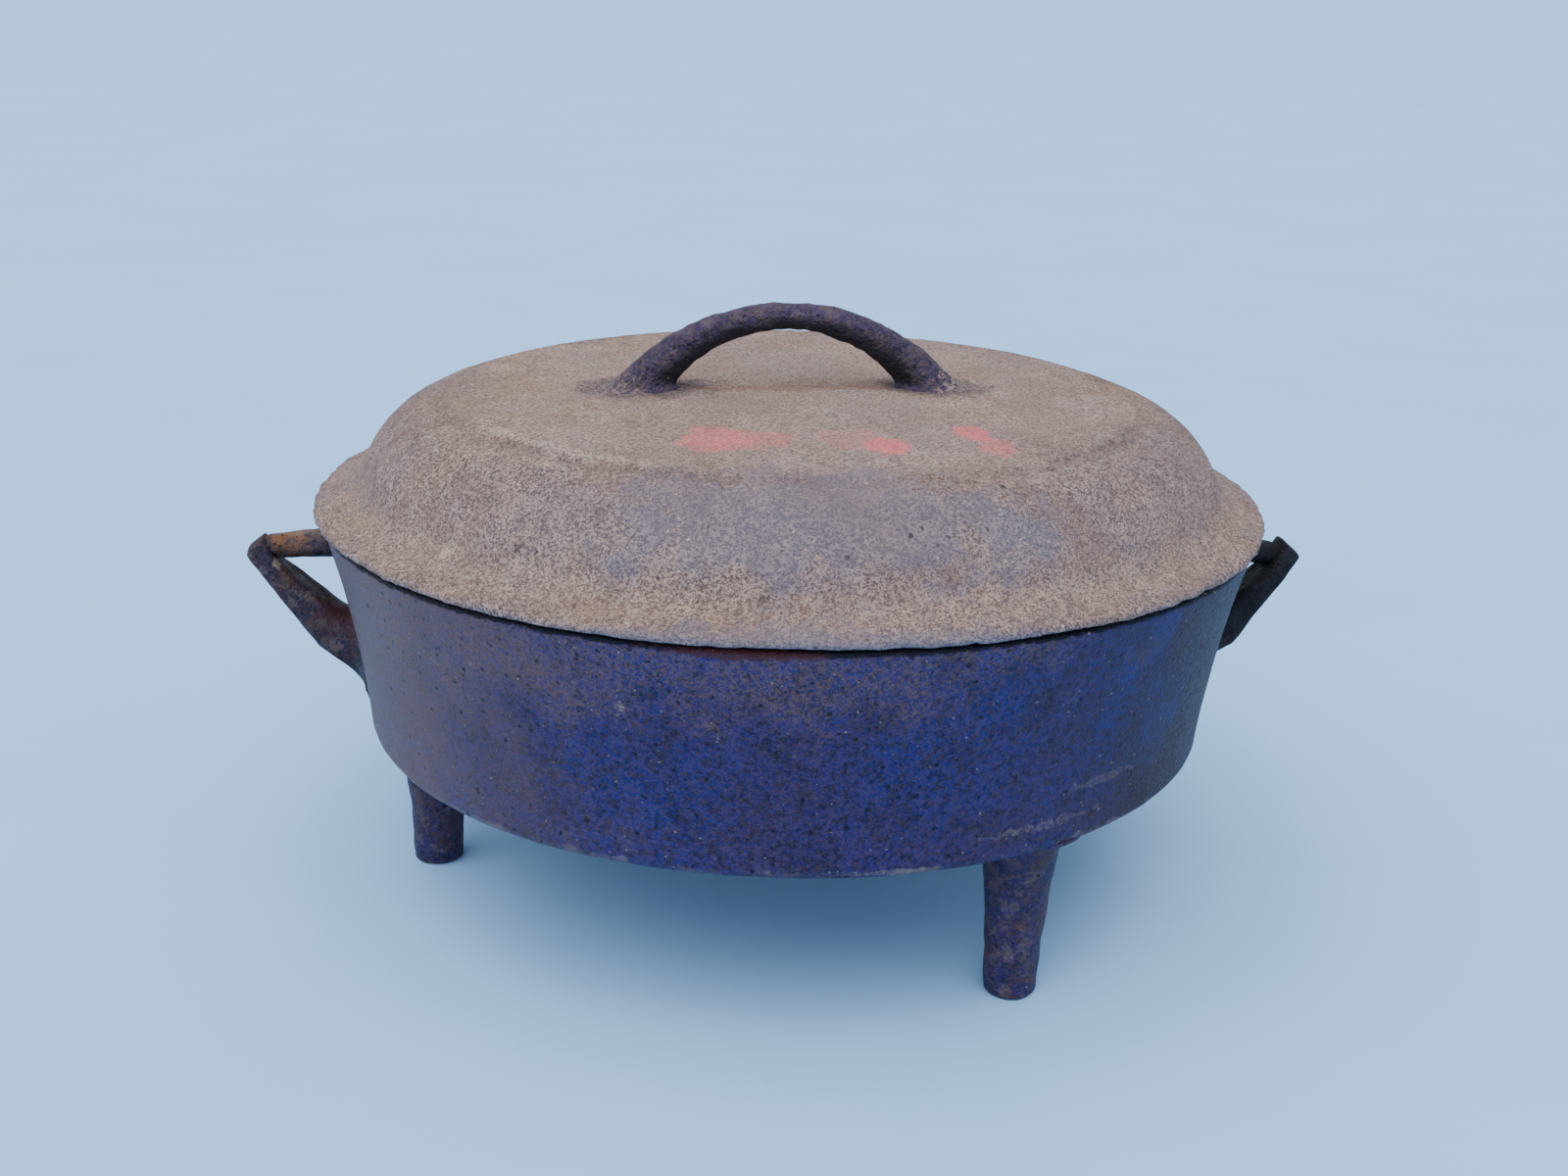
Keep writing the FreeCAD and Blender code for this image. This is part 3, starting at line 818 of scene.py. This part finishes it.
# %% Cast the bars
def bar_mesh(side):
    """A tapered bar with a domed end, from inside the wall outwards, as on the right side."""
    height = rim_height - bar_drop[side]
    root = Vector((wall_radius(height) - bowl_wall / 2, 0, height))
    end = Vector((ear_tip - bar_end_setback, 0, height - bar_droop[side]))
    along = (end - root).normalized()
    up = Vector((0, 1, 0)).cross(along)
    rings = [[root]]
    length = (end - root).length
    stations = []
    for share in (step / bar_steps for step in range(bar_steps + 1)):
        stations.append((length * share, bar_root_radius + (bar_end_radius - bar_root_radius) * share))
    for angle in (math.pi / 2 * step / dome_steps for step in range(1, dome_steps)):
        stations.append((length + bar_end_radius * math.sin(angle), bar_end_radius * math.cos(angle)))
    for reach, radius in stations:
        ring_of_points = []
        for angle in around(bar_columns):
            outward = Vector((0, 1, 0)) * math.cos(angle) + up * math.sin(angle)
            ring_of_points.append(root + along * reach + outward * radius)
        rings.append(ring_of_points)
    rings.append([end + along * bar_end_radius])
    mesh = skin_over(rings)
    swell_at_wall(mesh, root, along, bar_fillet)
    return mesh


def turn_to_left(mesh):
    bmesh.ops.rotate(mesh, verts=mesh.verts, cent=(0, 0, 0), matrix=Matrix.Rotation(math.pi, 3, "Z"))
    mesh.normal_update()


for number, side in enumerate(("left", "right")):
    mesh = bar_mesh(side)
    if side == "left":
        turn_to_left(mesh)
    cast_in_sand(mesh, [(14 * mm, 0.7 * mm), (5 * mm, 0.35 * mm), (2.2 * mm, 0.12 * mm)], seed=21 + number)
    finished_piece("ear_bar_" + side, mesh, "pot", ["ear_bar_" + side], [ear_iron])


# %% Cast the struts
def boxy_ring(inner, outer, width):
    """A ring with flat sides and soft corners, from an inner to an outer point of the wedge."""
    middle = (inner + outer) / 2
    half_depth = (outer - inner) / 2
    points = []
    for angle in around(strut_columns):
        across = math.copysign(abs(math.cos(angle)) ** squareness, math.cos(angle))
        down = math.copysign(abs(math.sin(angle)) ** squareness, math.sin(angle))
        points.append(middle + Vector((0, width / 2 * across, 0)) + half_depth * down)
    return points


def strut_mesh(side):
    """A wedge through four stations: tip, neck, elbow and root. The tip gets a low dome."""
    tip = Vector((ear_tip, 0, rim_height - tip_drop[side]))
    inward = Vector((-math.sin(strut_slope), 0, math.cos(strut_slope)))
    elbow_x = wall_radius(strut_root_high) + strut_elbow
    elbow = Vector((elbow_x, 0, tip.z - (tip.x - elbow_x) * math.tan(strut_slope)))
    neck = tip.lerp(elbow, 0.25)
    inside_x = wall_radius(strut_root_low) - bowl_wall / 2
    root_high = Vector((inside_x, 0, strut_root_high))
    root_low = Vector((inside_x, 0, strut_root_low))
    stations = [(tip + tip_inside, tip + tip_outside, tip_width),
                (neck + inward * neck_depth, neck, neck_width),
                (elbow + inward * elbow_depth, elbow, elbow_width),
                (root_high, root_low, root_width)]
    top_middle = (stations[0][0] + stations[0][1]) / 2
    rings = []
    for shrink, lift in tip_dome:
        raised = top_middle + Vector((0, 0, lift * mm))
        ring_here = boxy_ring(*stations[0]) if shrink else [top_middle]
        rings.append([raised + (point - top_middle) * shrink for point in ring_here])
    for (inner, outer, width), (next_inner, next_outer, next_width) in zip(stations, stations[1:]):
        count = max(4, math.ceil((next_outer - outer).length / strut_spacing))
        for step in range(count):
            share = step / count
            rings.append(boxy_ring(inner.lerp(next_inner, share), outer.lerp(next_outer, share),
                                   width + (next_width - width) * share))
    rings.append(boxy_ring(*stations[-1]))
    root_middle = (root_high + root_low) / 2
    rings.append([root_middle])
    mesh = skin_over(rings)
    for _ in range(2):
        bmesh.ops.smooth_vert(mesh, verts=mesh.verts, factor=0.5,
                              use_axis_x=True, use_axis_y=True, use_axis_z=True)
    mesh.normal_update()
    swell_at_wall(mesh, root_middle, Vector((1, 0, 0)), strut_fillet)
    return mesh


for number, side in enumerate(("left", "right")):
    mesh = strut_mesh(side)
    if side == "left":
        turn_to_left(mesh)
    cast_in_sand(mesh, [(16 * mm, 1.0 * mm), (6 * mm, 0.5 * mm), (2.5 * mm, 0.16 * mm)], seed=31 + number)
    finished_piece("ear_strut_" + side, mesh, "pot", ["ear_strut_" + side], [ear_iron])

# %% [markdown]
# ## The lid
# The lid's outline runs from the crown over the worn edge of the plateau, down the steep dome and the
# cove to the flange, round the flange's edge and back under the dome. Its edge is the roughest part
# of the casting: it was knocked off the gate and never ground, so it gets lumps of its own. Its
# underside is uneven too, which opens the dark gap over the rim in some places and closes it in others.

# %% Turn the lid
lid_outline = outline_of((0, lid_top), [
    ((plateau_radius - step_run, plateau_edge), crown_rise / 4, 2.2),
    ((plateau_radius + step_run, plateau_edge - step_drop), 0.4 * mm, 0.8),
    ((cove_radius, cove_top), dome_bow, 1.5),
    ((flange_inner, flange_top), -cove_bow, 1.2),
    ((lid_radius - edge_thickness / 2, lid_seat + edge_thickness), 0.2 * mm, 1.0),
    ((lid_radius, lid_seat + edge_thickness / 2), quarter * edge_thickness / 2, 0.5),
    ((lid_radius - edge_thickness / 2, lid_seat), quarter * edge_thickness / 2, 0.5),
    ((mouth_radius - 13 * mm, lid_seat), 0, 1.6),
    ((cove_radius - 3.6 * mm, cove_top - 3 * mm), 0, 2.5),
    ((plateau_radius - 1 * mm, plateau_edge - step_drop - lid_wall), -inside_bow, 3),
    ((0, lid_top - lid_wall), 0, 4),
])
lid_mesh = lathe(lid_outline, columns=600)
for face in lid_mesh.faces:
    from_axis = Vector(face.calc_center_median().xy).length
    face.material_index = int(face.normal.z < -0.05 and from_axis < lid_radius - 1.5 * mm)
print("lid outline points:", len(lid_outline))

# %% Roughen the lid, its edge most of all, and open the gap under it
lid_layers = [(70 * mm, 0.9 * mm), (18 * mm, 0.35 * mm), (6 * mm, 0.28 * mm), (3.2 * mm, 0.16 * mm)]
cast_in_sand(lid_mesh, lid_layers, seed=41)
seed_offset = Vector((3.3, 8.1, 1.7))
edge_lumps = 0.75 * mm
edge_waves = 0.5 * mm
edge_wear = 0.45 * mm
gap_everywhere = 0.45 * mm
gap_waves = 0.2 * mm
gap_at_right = 1.1 * mm
gap_grit = 0.35 * mm
for vertex in lid_mesh.verts:
    radius = Vector(vertex.co.xy).length
    near_edge = smooth_step(lid_radius - 9 * mm, lid_radius - 1 * mm, radius)
    if near_edge > 0:
        outward = Vector((vertex.co.x, vertex.co.y, 0)).normalized()
        lumps = noise.noise(vertex.co / (7 * mm) + seed_offset)
        lumps += 0.7 * noise.noise(vertex.co / (3.4 * mm))
        long_wave = noise.noise(Vector((outward.x, outward.y, 0)) * 2.2 + seed_offset)
        vertex.co += outward * near_edge * (lumps * edge_lumps + long_wave * edge_waves - edge_wear)
        beyond = Vector(vertex.co.xy).length - lid_radius
        vertex.co -= outward * max(0, beyond)
    underside = vertex.co.z < lid_seat + 0.8 * mm and radius > mouth_radius - 8 * mm
    if underside:
        to_the_right = smooth_step(-0.02, 0.12, vertex.co.x)
        wave = 0.5 + 0.5 * noise.noise(vertex.co / (28 * mm) + seed_offset)
        vertex.co.z += (gap_everywhere + gap_waves * wave + gap_at_right * to_the_right
                        + gap_grit * noise.noise(vertex.co / (5 * mm)))
        vertex.co.z = max(vertex.co.z, lid_seat + 0.02 * mm)
lid_mesh.normal_update()
finished_piece("lid", lid_mesh, "lid", ["lid_shell"], [lid_iron, inside_iron])

# %% [markdown]
# ## The locating lip
# Under the lid a low ring keeps it from sliding off the rim. It is only seen with the lid lifted. It
# is a lathe of its own, with rounded lower corners and the same rough skin.

# %% Turn the locating lip
lip_low = Vector(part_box("lid_locating_lip")[0])
lip_play = 1.2 * mm
lip_thickness = 4 * mm
lip_rounding = 1.0 * mm
lip_root = lid_seat + 0.5 * mm
lip_outer = wall_radius(lip_low.z) - bowl_wall - lip_play
lip_inner = lip_outer - lip_thickness
lip_outline = outline_of((lip_outer, lip_root), [
    ((lip_outer, lip_low.z + lip_rounding), 0, 0.9),
    ((lip_outer - lip_rounding, lip_low.z), quarter * lip_rounding, 0.4),
    ((lip_inner + lip_rounding, lip_low.z), 0, 0.9),
    ((lip_inner, lip_low.z + lip_rounding), quarter * lip_rounding, 0.4),
    ((lip_inner, lip_root), 0, 0.9),
])
lip_mesh = lathe(lip_outline, columns=420)
cast_in_sand(lip_mesh, [(30 * mm, 0.3 * mm), (6 * mm, 0.2 * mm)], seed=51)
finished_piece("locating_lip", lip_mesh, "lid", ["lid_locating_lip"], [inside_iron])

# %% [markdown]
# ## The grip
# The grip is a round bar bent into a low arch and cast into the lid. Its feet spread out and die away
# along the plateau. It is a stack of discs on an arc. Near the lid each point is moved away from the
# bar, like a fillet, and the last of it sinks just below the lid's skin.

# %% Cast the grip
grip_shift = -2.0 * mm
grip_reach = 47.4 * mm
grip_rise = 24.4 * mm
grip_radius = 4.3 * mm
grip_foot_radius = 9.0 * mm
grip_fillet = 3.5 * mm
grip_spread = 0.8
grip_sink = 1.6 * mm
grip_overrun = math.radians(7)
grip_stations = 180
grip_columns = 64
grip_bend = (grip_reach ** 2 + grip_rise ** 2) / (2 * grip_rise)
grip_centre = Vector((grip_shift, 0, plateau_edge + grip_rise - grip_bend))
grip_end_angle = math.asin(grip_reach / grip_bend) + grip_overrun


def plateau_height(point):
    share = min(1, Vector(point.xy).length / plateau_radius)
    return lid_top - crown_rise * share ** 2


def grip_mesh():
    rings = []
    for station in range(grip_stations + 1):
        share = 2 * station / grip_stations - 1
        angle = share * grip_end_angle
        away = Vector((math.sin(angle), 0, math.cos(angle)))
        centre = grip_centre + away * grip_bend
        radius = grip_radius + (grip_foot_radius - grip_radius) * share ** 2
        points = []
        for turn in around(grip_columns):
            outward = Vector((0, 1, 0)) * math.cos(turn) + away * math.sin(turn)
            points.append(centre + outward * radius)
        if station == 0:
            rings.append([centre])
        rings.append(points)
        if station == grip_stations:
            rings.append([centre])
    return skin_over(rings)


mesh = grip_mesh()
for vertex in mesh.verts:
    gap = vertex.co.z - plateau_height(vertex.co)
    if gap < grip_fillet:
        side = 1 if vertex.co.x > grip_shift else -1
        foot_middle = Vector((grip_shift + side * grip_reach, 0, vertex.co.z))
        off_axis = vertex.co - foot_middle
        reach = grip_fillet - math.sqrt(grip_fillet ** 2 - (grip_fillet - max(0, gap)) ** 2)
        vertex.co += off_axis.normalized() * reach * grip_spread
mesh.normal_update()
cast_in_sand(mesh, [(12 * mm, 0.9 * mm), (4 * mm, 0.8 * mm), (2 * mm, 0.3 * mm)], seed=61)
for vertex in mesh.verts:
    vertex.co.z = min(grip_high.z, max(vertex.co.z, plateau_height(vertex.co) - grip_sink))
mesh.normal_update()
finished_piece("grip", mesh, "lid", ["lid_handle"], [grip_iron])

# %% [markdown]
# ## Floor, light and camera
# The floor is a plain pale sheet with a faint unevenness, so that the iron's own colours stand out.
# A very wide sun gives even light with soft shadows. A pale sky and a weak lamp in front light the
# sides that the sun leaves dark, as in open shade. The camera stands in front, a little to the left
# and above, and looks down.

# %% Lay the floor
floor_finish, tree = start_material("pale_floor")
wash = use(tree, stain, Size=160.0, Amount=0.5, Softness=0.5, Seed=1.5)["Mask"]
tone = over(tree, wash, colour(0.32, 0.59, 1.0), colour(0.35, 0.62, 1.0))
dust = use(tree, grain, Size=2.0)
close_material(tree, tone, 0.75, bumped(tree, dust["Height"], 0.2 * mm, 0.3), 0.3)
floor_mesh = bmesh.new()
floor_reach = 200.0
bmesh.ops.create_grid(floor_mesh, x_segments=8, y_segments=8, size=floor_reach)
floor_data = bpy.data.meshes.new("floor")
floor_mesh.to_mesh(floor_data)
floor_mesh.free()
floor_data.materials.append(floor_finish)
floor = put_in_scene("floor", floor_data)
print(f"floor reaches {floor_reach:.0f} m to each side")


# %% Hang the lights
def soft_light(name, location, target, size, power, tint):
    """A round lamp that points at its target."""
    data = bpy.data.lights.new(name, "AREA")
    data.shape = "DISK"
    data.size = size
    data.energy = power
    data.color = tint
    light = put_in_scene(name, data)
    light.location = location
    light.rotation_euler = (Vector(target) - Vector(location)).to_track_quat("-Z", "Y").to_euler()
    print(f"{name}: {power} W")


sky_data = bpy.data.lights.new("open_shade", "SUN")
sky_data.energy = 3.15
sky_data.angle = math.radians(75)
sky_data.color = (1.0, 0.98, 0.96)
open_shade = put_in_scene("open_shade", sky_data)
open_shade.rotation_euler = Vector((0.2, 0.35, -1.0)).to_track_quat("-Z", "Y").to_euler()
soft_light("front_fill", (-0.6, -2.4, 1.2), (0, 0, 0.08), 1.6, 10, (0.97, 0.98, 1.0))
sky = bpy.data.worlds.new("pale_sky")
sky.use_nodes = True
sky.node_tree.nodes["Background"].inputs["Color"].default_value = colour(0.80, 0.90, 1.0)
sky.node_tree.nodes["Background"].inputs["Strength"].default_value = 0.93
bpy.context.scene.world = sky

# %% Stand the camera
camera_place = Vector((-0.0706, -0.6019, 0.2916))
turned_right = 6.6
tilted_down = 17.98
rolled = 1.415
lens_data = bpy.data.cameras.new("camera")
lens_data.lens = 43.72
lens_data.sensor_width = 36
camera = put_in_scene("camera", lens_data)
heading = Matrix.Rotation(math.radians(-turned_right), 4, "Z")
pitch = Matrix.Rotation(math.radians(90 - tilted_down), 4, "X")
roll = Matrix.Rotation(math.radians(rolled), 4, "Z")
camera.matrix_world = Matrix.Translation(camera_place) @ heading @ pitch @ roll
bpy.context.scene.camera = camera
looks_along = camera.matrix_world.to_3x3() @ Vector((0, 0, -1))
print("camera looks along", [round(value, 4) for value in looks_along])

# %% Update the view layer, and close
bpy.context.view_layer.update()
